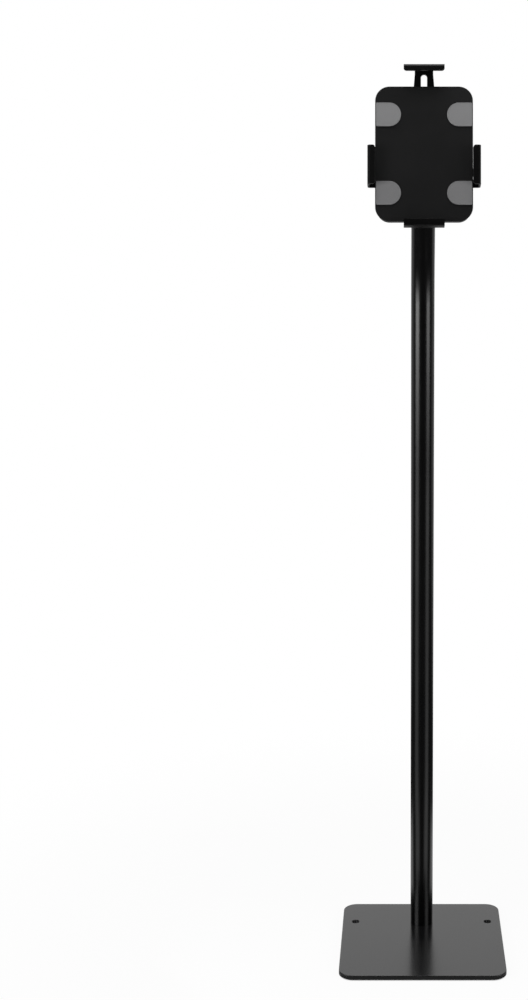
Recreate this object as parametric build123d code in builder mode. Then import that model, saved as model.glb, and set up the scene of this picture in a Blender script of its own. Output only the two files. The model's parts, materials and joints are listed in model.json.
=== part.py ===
from build123d import *
from math import cos, radians, sin
import os

# Adjustable floor stand for a tablet, in millimetres. Z is up, X is to the
# viewer's right, and the holder faces the viewer, towards -Y. The origin is on
# the floor, under the middle of the base.

os.makedirs("parts", exist_ok=True)

# Fits
slide_gap = 0.3  # between flat faces that slide or turn past each other
shaft_gap = 0.05  # radial gap of a bolt or plug in its bore
screw_gap = 0.2  # radial gap of a screw in a clearance hole
overrun = 5  # how far a cut runs past the face that it opens
socket_depth_share = 0.6  # depth of a hexagon socket, as a share of its head
head_chamfer_share = 0.4  # chamfer of a screw head, as a share of its height

# Base
base_width = 242
base_depth = 242
base_thickness = 6
base_corner = 21
base_chamfer = 0.6
foot_radius = 9
foot_height = 2
foot_inset = 21  # from the plate's edges to a foot's centre
floor_screw_inset = 19.5  # from the plate's side edges to a floor screw's centre
floor_screw_radius = 3.3
floor_sink_radius = 6.2

# Column
column_inset = 64  # from the base's rear edge to the column's centre
column_radius = 16.85
column_wall = 1.5
bend_height = 956.5  # where the straight tube starts to bend towards the viewer
bend_radius = 180
neck_lean = 22  # degrees from upright
neck_length = 104  # straight tube above the bend
foot_plug_height = 18
base_screw_count = 3
base_screw_circle = 8.5
base_screw_radius = 3
base_screw_length = 20
base_screw_head = 6
base_screw_head_height = 3.4
plug_flange = 3
plug_spigot = 18

# Tilt joint
pivot_reach = 32  # from the tube's end to the tilt axis
yoke_thickness = 3
yoke_ear_radius = 13
yoke_bend = 5  # outside radius
yoke_screw_radius = 4
yoke_screw_length = 18
yoke_screw_head = 7
yoke_screw_head_height = 4.4
yoke_screw_socket = 5
tilt_bolt_radius = 4
hexagon_across = 13
bolt_head_height = 5.3
lock_nut_height = 8
washer_radius = 8
washer_thickness = 1.6
friction_washer_radius = 11
friction_washer_thickness = 1
tilt_at_rest = 12  # degrees that the holder leans back in the photo

# Tilt bracket and swivel
bracket_half_width = 11
bracket_ear_thickness = 3
bracket_ear_radius = 12
bracket_ear_root = 16  # half the ear's height where it meets the flange
bracket_root_round = 2
flange_radius = 30
flange_thickness = 3
flange_chamfer = 0.6
face_reach = 46  # from the tilt axis to the front plate's face
swivel_bolt_radius = 4
swivel_nut_height = 6.5
swivel_disc_radius = 20
swivel_disc_thickness = 1
spring_washer_radius = 8
spring_washer_thickness = 1.5
stop_pin_radius = 2.5
stop_circle = 25
stop_start = 225  # degrees, where the pin stands in portrait
swivel_range = 90  # degrees, portrait to landscape

# Front plate and pads
plate_width = 131.8
plate_height = 183
plate_corner = 19.5
plate_thickness = 2
plate_chamfer = 0.5
pad_length = 33.7
pad_height = 32
pad_thickness = 1.5
pad_inset = 1.2
pad_drop = 38.3  # from the plate's top or bottom edge to a pad's middle
pad_chamfer = 0.3
pad_corner = 1.5

# Rear cover
cover_depth = 20
cover_inset = 2
cover_wall = 2
cover_round = 3.5
boss_width = 16
boss_margin = 3.2
corner_screw_inset = 12
corner_boss_radius = 5.5
corner_boss_height = 3
standoff_radius = 4
cover_screw_radius = 2
cover_screw_length = 8
cover_screw_head = 3.8
cover_screw_head_height = 2.2
cover_screw_socket = 2.5
recess_gap = 0.5  # round a screw head in its recess
recess_depth = 2.8
hub_radius = 13
hub_height = 1.2

# Arms
arm_thickness = 2.5
arm_bend = 1.5  # inside radius
arm_corner = 3
lip_corner = 3
lip_reach = 15  # from the plate's face to the hook's outer face
slot_width = 8.3
slot_bar = 7  # metal left across the fork's inner end
slot_land = 6.5  # metal left between the slot and the hook's wall
high_lip_width = 54.8  # top and bottom arms
high_hook = 9.2
high_fork_lip = 25  # fork width beside the lip
top_beyond = 26.7  # from the plate's edge to the hook's outer wall
top_fork_width = 39.6
arm_ends_gap = 15.4  # between the inner ends of the top and bottom arms
bottom_beyond = 8.4
bottom_fork_width = 30
bottom_travel = 28
taper_start = 9  # from the hook's outer wall to where the fork widens
taper_end = 99
short_taper_end = 38
side_height = 60.5  # from the plate's bottom edge to the side arms' middle
side_beyond = 10.2
side_hook = 10
side_fork_width = 26
side_lip_height = 52.6
side_end_x = 7.6  # from the plate's middle to a side arm's inner end
liner_thickness = 1.2
liner_margin = 1.5

# Slide nuts and clamp screws
nut_head_width = 14
nut_head_thickness = 2.5
nut_neck_gap = 0.15  # each side of the neck in its slot
nut_head_margin = 1.6
neck_end_wall = 1.6  # metal between a clamp screw and the end of its neck
top_neck_start = 8  # from the plate's edge to the neck
top_neck_length = 24
bottom_neck_start = 7
bottom_neck_length = 16
side_neck_start = 6
side_neck_length = 11
clamp_screw_radius = 2.5
clamp_screw_head = 4.7
clamp_screw_head_height = 2.6
clamp_screw_socket = 3

# Lock
lock_inset = 31.9  # from the plate's right edge to the lock's centre
lock_drop = 47.5  # from the plate's top edge to the lock's centre
barrel_radius = 9
barrel_head_radius = 11
barrel_head_height = 2.5
barrel_chamfer = 0.6
lock_plug_radius = 6
lock_plug_proud = 0.4
lock_hex_across = 23
lock_nut_thickness = 3
key_width = 1.6
key_height = 7
key_depth = 5
key_round = 0.5
cam_thickness = 2.5
cam_half_width = 5
cam_reach = 24
cam_gap = 0.5  # between the cam and the back of the top arm that it turns behind
cam_square = 6
cam_screw_radius = 1.5
cam_screw_head = 4
cam_screw_head_height = 2
cam_screw_length = 6
cam_screw_socket = 2

# Places that follow from the sizes above
floor_screw_x = base_width / 2 - floor_screw_inset
column_y = base_depth / 2 - column_inset
column_bottom = foot_height + base_thickness
lean = radians(neck_lean)
neck_end_y = column_y - bend_radius * (1 - cos(lean)) - neck_length * sin(lean)
neck_end_z = bend_height + bend_radius * sin(lean) + neck_length * cos(lean)
pivot_y = neck_end_y - pivot_reach * sin(lean)
pivot_z = neck_end_z + pivot_reach * cos(lean)
tilt = radians(tilt_at_rest)
face_y = pivot_y - face_reach * cos(tilt)
face_z = pivot_z + face_reach * sin(tilt)
tube_bore = column_radius - column_wall
yoke_inner = bracket_half_width + friction_washer_thickness + 2 * shaft_gap
yoke_outer = yoke_inner + yoke_thickness
cover_back = plate_thickness + cover_depth  # depths are measured back from the face
cover_floor = cover_back - cover_wall
high_level = plate_thickness + nut_head_thickness + 2 * slide_gap
side_level = high_level + arm_thickness + slide_gap
slot_clear = slot_width / 2 - nut_neck_gap
top_screw_inset = clamp_screw_radius + neck_end_wall
bottom_inner = bottom_neck_start + bottom_neck_length + bottom_travel + slot_bar + slide_gap
top_inner = plate_height - bottom_inner - arm_ends_gap
side_inner = plate_width / 2 - side_end_x
disc_front = cover_back + shaft_gap
flange_front = disc_front + swivel_disc_thickness + shaft_gap
flange_back = flange_front + flange_thickness
lock_x = plate_width / 2 - lock_inset
lock_rise = plate_height / 2 - lock_drop
pad_rise = plate_height / 2 - pad_drop
side_drop = plate_height / 2 - side_height
corner_screw_x = plate_width / 2 - corner_screw_inset
corner_screw_y = plate_height / 2 - corner_screw_inset
barrel_length = cover_back - slide_gap - cam_thickness - cam_gap - high_level - arm_thickness

# Planes. The holder's plane lies in the front plate's face, with X across, Y up
# the plate and Z out of it, towards the viewer.
base_top = Plane.XY.offset(column_bottom)
column_foot = Plane((0, column_y, column_bottom), x_dir=(1, 0, 0), z_dir=(0, 0, 1))
neck_end = Plane((0, neck_end_y, neck_end_z), x_dir=(1, 0, 0), z_dir=(0, -sin(lean), cos(lean)))
holder = Plane((0, face_y, face_z), x_dir=(1, 0, 0), z_dir=(0, -cos(tilt), sin(tilt)))
pivot_view = Plane((0, pivot_y, pivot_z), x_dir=holder.z_dir, z_dir=(1, 0, 0))


def moved(plane, x=0, y=0, z=0):
    # The same plane with its origin shifted in its own directions
    return Plane(plane.from_local_coords((x, y, z)), x_dir=plane.x_dir, z_dir=plane.z_dir)


def facing_back(plane, x=0, y=0, depth=0):
    # A plane at a depth behind the front plate's face that looks out of the back
    spot = moved(plane, x, y, -depth)
    return Plane(spot.origin, x_dir=plane.x_dir, z_dir=-plane.z_dir)


# Each arm has a frame on the plate's edge: X points out along the slide
top_frame = moved(Plane(holder.origin, x_dir=holder.y_dir, z_dir=holder.z_dir), x=plate_height / 2)
bottom_frame = moved(Plane(holder.origin, x_dir=-holder.y_dir, z_dir=holder.z_dir), x=plate_height / 2)
side_middle = moved(holder, y=-side_drop)
right_frame = moved(side_middle, x=plate_width / 2)
left_frame = moved(Plane(side_middle.origin, x_dir=-holder.x_dir, z_dir=holder.z_dir), x=plate_width / 2)


def socket_screws(seats, shank, length, head, head_height, socket):
    # Socket-headed screws; each seat's plane looks out of the head
    with BuildPart() as screws:
        for seat in seats:
            with BuildSketch(seat):
                Circle(head)
            extrude(amount=head_height)
            rim = screws.edges(Select.LAST).filter_by(GeomType.CIRCLE)
            chamfer(rim.sort_by(Axis(seat.origin, seat.z_dir))[-1], head_chamfer_share * head_height)
            with BuildSketch(seat):
                Circle(shank)
            extrude(amount=-length)
            with BuildSketch(seat.offset(head_height)):
                RegularPolygon(socket / 2, 6, major_radius=False)
            extrude(amount=-socket_depth_share * head_height, mode=Mode.SUBTRACT)
    return screws


def hexagon(seat, across, height, bore=0, shank=0, length=0):
    # A nut, or a bolt head with its shank, that stands on the seat
    with BuildPart() as piece:
        with BuildSketch(seat):
            RegularPolygon(across / 2, 6, major_radius=False)
            if bore:
                Circle(bore, mode=Mode.SUBTRACT)
        extrude(amount=height)
        if shank:
            with BuildSketch(seat):
                Circle(shank)
            extrude(amount=-length)
    return piece


def rings(seats, outer, bore, thickness):
    with BuildPart() as piece:
        with BuildSketch(*seats):
            Circle(outer)
            Circle(bore, mode=Mode.SUBTRACT)
        extrude(amount=thickness)
    return piece


def profile_plane(frame, across):
    # Looks along the arm's width, with the slide to the right and the face up
    spot = moved(frame, y=across)
    return Plane(spot.origin, x_dir=frame.x_dir, z_dir=-frame.y_dir)


def bent_arm(frame, level, inner, beyond, hook, fork, fork_lip, taper, lip_low, lip_high):
    # A forked strip that leaves the cover, turns forward and hooks over the tablet
    back = level + arm_thickness
    with BuildPart() as arm:
        with BuildSketch(profile_plane(frame, lip_high)):
            with BuildLine():
                outside = FilletPolyline(
                    (-inner, -back),
                    (beyond, -back),
                    (beyond, lip_reach),
                    (beyond - hook, lip_reach),
                    radius=arm_bend + arm_thickness,
                )
                offset(outside, amount=arm_thickness, side=Side.LEFT)
            make_face()
        extrude(amount=lip_low + lip_high)
        with BuildSketch(frame.offset(-back - overrun)):
            with Locations(((beyond - inner) / 2, 0)):
                Rectangle(beyond + inner + 2 * overrun, 2 * (max(lip_low, lip_high) + overrun))
            with BuildLine():
                Polyline(
                    (-inner, fork / 2),
                    (beyond - taper, fork / 2),
                    (beyond - taper_start, fork_lip / 2),
                    (beyond, fork_lip / 2),
                    (beyond, -fork_lip / 2),
                    (beyond - taper_start, -fork_lip / 2),
                    (beyond - taper, -fork / 2),
                    (-inner, -fork / 2),
                    close=True,
                )
            make_face(mode=Mode.SUBTRACT)
            slot_out = beyond - arm_thickness - slot_land
            slot_length = slot_out + inner - slot_bar
            with Locations((slot_out - slot_length / 2, 0)):
                SlotOverall(slot_length, slot_width)
        extrude(amount=back + overrun - plate_thickness, mode=Mode.SUBTRACT)
        upright = arm.edges().filter_by(Axis(frame.origin, frame.z_dir))
        fillet(upright.sort_by(Axis(frame.origin, frame.x_dir))[:2], arm_corner)
        hook_ends = arm.edges().filter_by(Axis(frame.origin, frame.z_dir)).filter_by(
            lambda edge: frame.to_local_coords(edge.center()).Z > lip_reach - arm_thickness
        )
        fillet(hook_ends, lip_corner)
    return arm


def hook_liner(frame, beyond, hook, lip_low, lip_high):
    # A rubber strip inside the hook, along its wall and under its lip
    wall = beyond - arm_thickness
    under = lip_reach - arm_thickness
    with BuildPart() as liner:
        with BuildSketch(profile_plane(frame, lip_high - liner_margin)):
            with BuildLine():
                outside = FilletPolyline(
                    (wall, 0),
                    (wall, under),
                    (beyond - hook, under),
                    radius=arm_bend + liner_thickness,
                )
                offset(outside, amount=liner_thickness, side=Side.LEFT)
            make_face()
        extrude(amount=lip_low + lip_high - 2 * liner_margin)
    return liner


def slide_nut(frame, start, length, level, screws):
    # A T-shaped nut: its neck guides the slot and its head pulls the arm back
    middle = -start - length / 2
    with BuildPart() as nut:
        with BuildSketch(moved(frame, x=middle, z=-plate_thickness - slide_gap)):
            RectangleRounded(length + 2 * nut_head_margin, nut_head_width, nut_head_margin)
        extrude(amount=-(level - plate_thickness - 2 * slide_gap))
        with BuildSketch(moved(frame, x=middle, z=slide_gap - level)):
            SlotOverall(length, 2 * slot_clear)
        extrude(amount=-(arm_thickness + slide_gap))
        with BuildSketch(moved(frame, z=-plate_thickness)):
            with Locations(*[(place, 0) for place in screws]):
                Circle(clamp_screw_radius + shaft_gap)
        extrude(amount=-level - arm_thickness, mode=Mode.SUBTRACT)
    return nut


# Base
with BuildPart() as base_plate:
    with BuildSketch(Plane.XY.offset(foot_height)):
        RectangleRounded(base_width, base_depth, base_corner)
    extrude(amount=base_thickness)
    chamfer(base_plate.faces().sort_by(Axis.Z)[-1].edges(), base_chamfer)
    with Locations(base_top):
        with Locations((-floor_screw_x, column_y), (floor_screw_x, column_y)):
            CounterSinkHole(floor_screw_radius, floor_sink_radius)
    with Locations(Plane((0, column_y, foot_height), x_dir=(1, 0, 0), z_dir=(0, 0, -1))):
        with PolarLocations(base_screw_circle, base_screw_count):
            CounterSinkHole(base_screw_radius + screw_gap, base_screw_head + screw_gap)
base_plate.part.label = "base_plate"

with BuildPart() as base_feet:
    with BuildSketch(Plane.XY):
        with GridLocations(base_width - 2 * foot_inset, base_depth - 2 * foot_inset, 2, 2):
            Circle(foot_radius)
    extrude(amount=foot_height)
base_feet.part.label = "base_feet"

# Column
with BuildPart() as column_tube:
    with BuildLine(Plane.YZ) as centre_line:
        upright_run = Line((column_y, column_bottom), (column_y, bend_height))
        bend = JernArc(upright_run @ 1, upright_run % 1, bend_radius, neck_lean)
        PolarLine(bend @ 1, neck_length, direction=bend % 1)
    with BuildSketch(column_foot):
        Circle(column_radius)
        Circle(tube_bore, mode=Mode.SUBTRACT)
    sweep()
column_tube.part.label = "column_tube"

with BuildPart() as foot_plug:
    with BuildSketch(column_foot):
        Circle(tube_bore - shaft_gap)
        with PolarLocations(base_screw_circle, base_screw_count):
            Circle(base_screw_radius + shaft_gap, mode=Mode.SUBTRACT)
    extrude(amount=foot_plug_height)
foot_plug.part.label = "foot_plug"

with BuildPart() as base_screws:
    with Locations(Plane((0, column_y, foot_height))):
        with PolarLocations(base_screw_circle, base_screw_count):
            Cylinder(base_screw_radius, base_screw_length, align=(Align.CENTER, Align.CENTER, Align.MIN))
            Cone(
                base_screw_head,
                base_screw_radius,
                base_screw_head_height,
                align=(Align.CENTER, Align.CENTER, Align.MIN),
            )
base_screws.part.label = "base_screws"

with BuildPart() as neck_plug:
    with BuildSketch(neck_end):
        Circle(column_radius)
    extrude(amount=plug_flange)
    with BuildSketch(neck_end):
        Circle(tube_bore - shaft_gap)
    extrude(amount=-plug_spigot)
    with BuildSketch(neck_end.offset(plug_flange)):
        Circle(yoke_screw_radius + shaft_gap)
    extrude(amount=-plug_flange - plug_spigot, mode=Mode.SUBTRACT)
neck_plug.part.label = "neck_plug"

# Tilt joint
yoke_seat = neck_end.offset(plug_flange)
ear_end = pivot_reach - plug_flange + yoke_ear_radius
with BuildPart() as tilt_yoke:
    with BuildSketch(Plane(yoke_seat.origin, x_dir=yoke_seat.x_dir, z_dir=-yoke_seat.y_dir)):
        with BuildLine():
            outside = FilletPolyline(
                (-yoke_outer, ear_end),
                (-yoke_outer, 0),
                (yoke_outer, 0),
                (yoke_outer, ear_end),
                radius=yoke_bend,
            )
            offset(outside, amount=yoke_thickness, side=Side.LEFT)
        make_face()
    extrude(amount=yoke_ear_radius, both=True)
    across = tilt_yoke.edges().filter_by(Axis.X).sort_by(Axis(yoke_seat.origin, yoke_seat.z_dir))
    fillet(across[-4:], yoke_ear_radius - shaft_gap)
    with Locations(yoke_seat.offset(yoke_thickness)):
        Hole(yoke_screw_radius + screw_gap, depth=2 * yoke_thickness)
    with BuildSketch(pivot_view):
        Circle(tilt_bolt_radius + shaft_gap)
    extrude(amount=yoke_outer + overrun, both=True, mode=Mode.SUBTRACT)
tilt_yoke.part.label = "tilt_yoke"

yoke_screw = socket_screws(
    [yoke_seat.offset(yoke_thickness)],
    yoke_screw_radius,
    yoke_screw_length,
    yoke_screw_head,
    yoke_screw_head_height,
    yoke_screw_socket,
)
yoke_screw.part.label = "yoke_screw"

pivot_left = Plane(pivot_view.origin, x_dir=pivot_view.x_dir, z_dir=-pivot_view.z_dir)
washer_outer = yoke_outer + shaft_gap
head_seat = washer_outer + washer_thickness + shaft_gap
tilt_bolt = hexagon(
    pivot_left.offset(head_seat),
    hexagon_across,
    bolt_head_height,
    shank=tilt_bolt_radius,
    length=2 * head_seat + lock_nut_height,
)
tilt_bolt.part.label = "tilt_bolt"

tilt_nut = hexagon(
    pivot_view.offset(head_seat), hexagon_across, lock_nut_height, bore=tilt_bolt_radius + shaft_gap
)
tilt_nut.part.label = "tilt_nut"

tilt_washers = rings(
    [pivot_view.offset(washer_outer), pivot_left.offset(washer_outer)],
    washer_radius,
    tilt_bolt_radius + shaft_gap,
    washer_thickness,
)
tilt_washers.part.label = "tilt_washers"

friction_washers = rings(
    [pivot_view.offset(bracket_half_width + shaft_gap), pivot_left.offset(bracket_half_width + shaft_gap)],
    friction_washer_radius,
    tilt_bolt_radius + shaft_gap,
    friction_washer_thickness,
)
friction_washers.part.label = "friction_washers"

# Tilt bracket: a round flange with a curved stop slot, and two ears to the pivot
stop_path = CenterArc((0, 0), stop_circle, stop_start, swivel_range)
with BuildPart() as tilt_bracket:
    with BuildSketch(holder.offset(-flange_front)):
        Circle(flange_radius)
    extrude(amount=-flange_thickness)
    rims = tilt_bracket.edges().filter_by(GeomType.CIRCLE)
    chamfer(rims, flange_chamfer)
    ear_length = face_reach - flange_back
    ear_middle = bracket_half_width - bracket_ear_thickness / 2
    for side in (-1, 1):
        with BuildSketch(pivot_view.offset(side * ear_middle)):
            with BuildLine():
                Polyline(
                    (0, bracket_ear_radius),
                    (0, -bracket_ear_radius),
                    (ear_length, -bracket_ear_root),
                    (ear_length, bracket_ear_root),
                    close=True,
                )
            make_face()
            Circle(bracket_ear_radius)
        extrude(amount=bracket_ear_thickness / 2, both=True)
    roots = tilt_bracket.edges().filter_by(Axis((0, 0, 0), holder.y_dir))
    outside_roots = roots.filter_by(lambda edge: abs(edge.center().X) > ear_middle)
    fillet(outside_roots, bracket_root_round)
    with BuildSketch(pivot_view):
        Circle(tilt_bolt_radius + shaft_gap)
    extrude(amount=bracket_half_width + overrun, both=True, mode=Mode.SUBTRACT)
    with BuildSketch(holder.offset(-flange_front)):
        Circle(swivel_bolt_radius + shaft_gap)
        SlotArc(stop_path, 2 * (stop_pin_radius + slide_gap))
    extrude(amount=-flange_thickness, mode=Mode.SUBTRACT)
tilt_bracket.part.label = "tilt_bracket"

swivel_disc = rings(
    [holder.offset(-disc_front - swivel_disc_thickness)],
    swivel_disc_radius,
    swivel_bolt_radius + shaft_gap,
    swivel_disc_thickness,
)
swivel_disc.part.label = "swivel_disc"

spring_seat = cover_floor - hub_height - shaft_gap
spring_washer = rings(
    [holder.offset(-spring_seat)],
    spring_washer_radius,
    swivel_bolt_radius + shaft_gap,
    spring_washer_thickness,
)
spring_washer.part.label = "spring_washer"

swivel_head_seat = spring_seat - spring_washer_thickness - shaft_gap
swivel_bolt = hexagon(
    holder.offset(-swivel_head_seat),
    hexagon_across,
    bolt_head_height,
    shank=swivel_bolt_radius,
    length=flange_back + swivel_nut_height - swivel_head_seat,
)
swivel_bolt.part.label = "swivel_bolt"

swivel_nut = hexagon(
    holder.offset(-flange_back - swivel_nut_height),
    hexagon_across,
    swivel_nut_height,
    bore=swivel_bolt_radius + shaft_gap,
)
swivel_nut.part.label = "swivel_nut"

# Front plate and its pads
with BuildPart() as front_plate:
    with BuildSketch(holder):
        RectangleRounded(plate_width, plate_height, plate_corner)
    extrude(amount=-plate_thickness)
    chamfer(front_plate.faces().sort_by(Axis(holder.origin, holder.z_dir))[-1].edges(), plate_chamfer)
front_plate.part.label = "front_plate"

pads = {
    "pad_top_left": (-1, 1),
    "pad_top_right": (1, 1),
    "pad_bottom_left": (-1, -1),
    "pad_bottom_right": (1, -1),
}
pieces = []
for pad_name, (side, rise) in pads.items():
    outer_end = plate_width / 2 - pad_inset
    round_centre = outer_end - pad_length + pad_height / 2
    with BuildPart() as pad:
        with BuildSketch(moved(holder, side * round_centre, rise * pad_rise)) as pad_outline:
            Circle(pad_height / 2)
            with Locations((side * (outer_end - round_centre) / 2, 0)):
                Rectangle(outer_end - round_centre, pad_height)
            fillet(pad_outline.vertices().group_by(Axis.X)[-1 if side > 0 else 0], pad_corner)
        extrude(amount=pad_thickness)
        chamfer(pad.faces().sort_by(Axis(holder.origin, holder.z_dir))[-1].edges(), pad_chamfer)
    pad.part.label = pad_name
    pieces.append(pad)

# The four arms: frame, depth behind the face, fork, hook and how far the lip
# reaches each side of the arm's middle. The side lips stand higher than their forks.
side_low = side_fork_width / 2
side_high = side_lip_height - side_low
half_lip = high_lip_width / 2
arms = {
    "top": (
        top_frame, high_level, top_inner, top_beyond, high_hook,
        top_fork_width, high_fork_lip, taper_end, half_lip, half_lip,
    ),
    "bottom": (
        bottom_frame, high_level, bottom_inner, bottom_beyond, high_hook,
        bottom_fork_width, high_fork_lip, short_taper_end, half_lip, half_lip,
    ),
    "left": (
        left_frame, side_level, side_inner, side_beyond, side_hook,
        side_fork_width, side_fork_width, short_taper_end, side_high, side_low,
    ),
    "right": (
        right_frame, side_level, side_inner, side_beyond, side_hook,
        side_fork_width, side_fork_width, short_taper_end, side_low, side_high,
    ),
}
for arm_name, sizes in arms.items():
    frame, level, inner, beyond, hook, fork, fork_lip, taper, lip_low, lip_high = sizes
    arm = bent_arm(*sizes)
    arm.part.label = f"{arm_name}_arm"
    pieces.append(arm)
    liner = hook_liner(frame, beyond, hook, lip_low, lip_high)
    liner.part.label = f"{arm_name}_liner"
    pieces.append(liner)

# Clamps: where each neck starts, its length, the arm's depth and width, and its screws
top_screws = (
    -top_neck_start - top_screw_inset,
    -top_neck_start - top_neck_length + top_screw_inset,
)
bottom_screws = (-bottom_neck_start - bottom_neck_length / 2,)
side_screws = (-side_neck_start - side_neck_length / 2,)
clamps = {
    "top": (top_frame, top_neck_start, top_neck_length, high_level, top_fork_width, top_screws),
    "bottom": (
        bottom_frame, bottom_neck_start, bottom_neck_length, high_level, bottom_fork_width, bottom_screws,
    ),
    "left": (left_frame, side_neck_start, side_neck_length, side_level, side_fork_width, side_screws),
    "right": (right_frame, side_neck_start, side_neck_length, side_level, side_fork_width, side_screws),
}
for clamp_name, (frame, start, length, level, fork, screws) in clamps.items():
    nut = slide_nut(frame, start, length, level, screws)
    nut.part.label = f"{clamp_name}_slide_nut"
    pieces.append(nut)

# Rear cover: a tray with a slot in its rim for each arm, a long boss under each
# clamp, four corner bosses and a hub round the swivel bolt
floor_plane = holder.offset(-cover_floor)
with BuildPart() as rear_cover:
    with BuildSketch(holder.offset(-plate_thickness)):
        RectangleRounded(
            plate_width - 2 * cover_inset, plate_height - 2 * cover_inset, plate_corner - cover_inset
        )
    extrude(amount=-cover_depth)
    rim = rear_cover.faces().sort_by(Axis(holder.origin, holder.z_dir))[-1]
    offset(amount=-cover_wall, openings=rim)
    by_depth = rear_cover.faces().sort_by(Axis(holder.origin, holder.z_dir))
    fillet(by_depth[0].edges(), cover_round)
    with BuildSketch(floor_plane):
        with GridLocations(2 * corner_screw_x, 2 * corner_screw_y, 2, 2):
            Circle(corner_boss_radius)
    extrude(amount=corner_boss_height)
    with BuildSketch(floor_plane):
        Circle(hub_radius)
    extrude(amount=hub_height)
    with BuildSketch(moved(floor_plane, lock_x, lock_rise)):
        Circle(barrel_head_radius + cover_wall)
    extrude(amount=hub_height)
    for frame, start, length, level, fork, screws in clamps.values():
        boss_rise = cover_floor - level - arm_thickness - slide_gap
        with BuildSketch(moved(frame, x=-start - length / 2, z=-cover_floor)):
            SlotOverall(length + 2 * boss_margin, boss_width)
        extrude(amount=boss_rise)
        with BuildSketch(frame.offset(slide_gap - level)):
            Rectangle(2 * (cover_inset + cover_wall + overrun), fork + 2 * slide_gap)
        extrude(amount=-arm_thickness - 2 * slide_gap, mode=Mode.SUBTRACT)
        with Locations(*[facing_back(frame, place, 0, cover_back) for place in screws]):
            CounterBoreHole(
                clamp_screw_radius + screw_gap, clamp_screw_head + recess_gap, recess_depth, cover_depth
            )
    with Locations(*[
        facing_back(holder, side * corner_screw_x, rise * corner_screw_y, cover_back)
        for side, rise in pads.values()
    ]):
        CounterBoreHole(
            cover_screw_radius + screw_gap,
            cover_screw_head + recess_gap,
            recess_depth,
            cover_wall + corner_boss_height + overrun,
        )
    with BuildSketch(holder.offset(-cover_back - overrun)):
        Circle(swivel_bolt_radius + shaft_gap)
        with Locations((lock_x, lock_rise)):
            Circle(barrel_radius + shaft_gap)
        with PolarLocations(stop_circle, 1, start_angle=stop_start):
            Circle(stop_pin_radius + shaft_gap)
    extrude(amount=cover_wall + hub_height + 2 * overrun, mode=Mode.SUBTRACT)
rear_cover.part.label = "rear_cover"

with BuildPart() as standoffs:
    with BuildSketch(holder.offset(-plate_thickness)):
        with GridLocations(2 * corner_screw_x, 2 * corner_screw_y, 2, 2):
            Circle(standoff_radius)
            Circle(cover_screw_radius + shaft_gap, mode=Mode.SUBTRACT)
    extrude(amount=-(cover_floor - corner_boss_height - plate_thickness))
standoffs.part.label = "standoffs"

cover_screws = socket_screws(
    [
        facing_back(holder, side * corner_screw_x, rise * corner_screw_y, cover_back - recess_depth)
        for side, rise in pads.values()
    ],
    cover_screw_radius,
    cover_screw_length,
    cover_screw_head,
    cover_screw_head_height,
    cover_screw_socket,
)
cover_screws.part.label = "cover_screws"

clamp_screws = socket_screws(
    [
        facing_back(frame, place, 0, cover_back - recess_depth)
        for frame, start, length, level, fork, screws in clamps.values()
        for place in screws
    ],
    clamp_screw_radius,
    cover_back - recess_depth - plate_thickness - slide_gap,
    clamp_screw_head,
    clamp_screw_head_height,
    clamp_screw_socket,
)
clamp_screws.part.label = "clamp_screws"

with BuildPart() as stop_pin:
    with BuildSketch(holder.offset(-cover_floor)):
        with PolarLocations(stop_circle, 1, start_angle=stop_start):
            Circle(stop_pin_radius)
    extrude(amount=-(flange_back - cover_floor))
stop_pin.part.label = "stop_pin"

# Lock: a barrel through the cover, its nut, and the plug that turns the cam
lock_back = facing_back(holder, lock_x, lock_rise, cover_back)
with BuildPart() as lock_barrel:
    with BuildSketch(lock_back):
        Circle(barrel_head_radius)
    extrude(amount=barrel_head_height)
    barrel_front = lock_barrel.faces().sort_by(Axis(lock_back.origin, lock_back.z_dir))[-1]
    chamfer(barrel_front.edges(), barrel_chamfer)
    with BuildSketch(lock_back):
        Circle(barrel_radius)
    extrude(amount=-barrel_length)
    with BuildSketch(lock_back.offset(-barrel_length)):
        Circle(lock_plug_radius + shaft_gap)
    extrude(amount=barrel_length + barrel_head_height, mode=Mode.SUBTRACT)
lock_barrel.part.label = "lock_barrel"

lock_nut_seat = cover_floor - hub_height
lock_nut = hexagon(
    moved(holder, lock_x, lock_rise, -lock_nut_seat),
    lock_hex_across,
    lock_nut_thickness,
    bore=barrel_radius + shaft_gap,
)
lock_nut.part.label = "lock_nut"

cam_back = cover_back - barrel_length - slide_gap
with BuildPart() as lock_plug:
    with BuildSketch(lock_back.offset(barrel_head_height + lock_plug_proud)):
        Circle(lock_plug_radius)
    extrude(amount=-(barrel_head_height + lock_plug_proud + barrel_length + slide_gap))
    with BuildSketch(lock_back.offset(-barrel_length - slide_gap)):
        Rectangle(cam_square, cam_square)
    extrude(amount=-cam_thickness)
    with BuildSketch(lock_back.offset(barrel_head_height + lock_plug_proud)):
        RectangleRounded(key_width, key_height, key_round)
    extrude(amount=-key_depth, mode=Mode.SUBTRACT)
    with BuildSketch(lock_back.offset(-barrel_length - slide_gap - cam_thickness)):
        Circle(cam_screw_radius + shaft_gap)
    extrude(amount=cam_screw_length, mode=Mode.SUBTRACT)
lock_plug.part.label = "lock_plug"

with BuildPart() as lock_cam:
    with BuildSketch(moved(holder, lock_x, lock_rise, -cam_back)):
        with Locations((0, cam_reach / 2)):
            SlotOverall(cam_reach + 2 * cam_half_width, 2 * cam_half_width, rotation=90)
        Circle(lock_plug_radius)
        Rectangle(cam_square + 2 * shaft_gap, cam_square + 2 * shaft_gap, mode=Mode.SUBTRACT)
    extrude(amount=cam_thickness)
lock_cam.part.label = "lock_cam"

cam_screw = socket_screws(
    [moved(holder, lock_x, lock_rise, cam_thickness - cam_back)],
    cam_screw_radius,
    cam_screw_length,
    cam_screw_head,
    cam_screw_head_height,
    cam_screw_socket,
)
cam_screw.part.label = "cam_screw"

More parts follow.
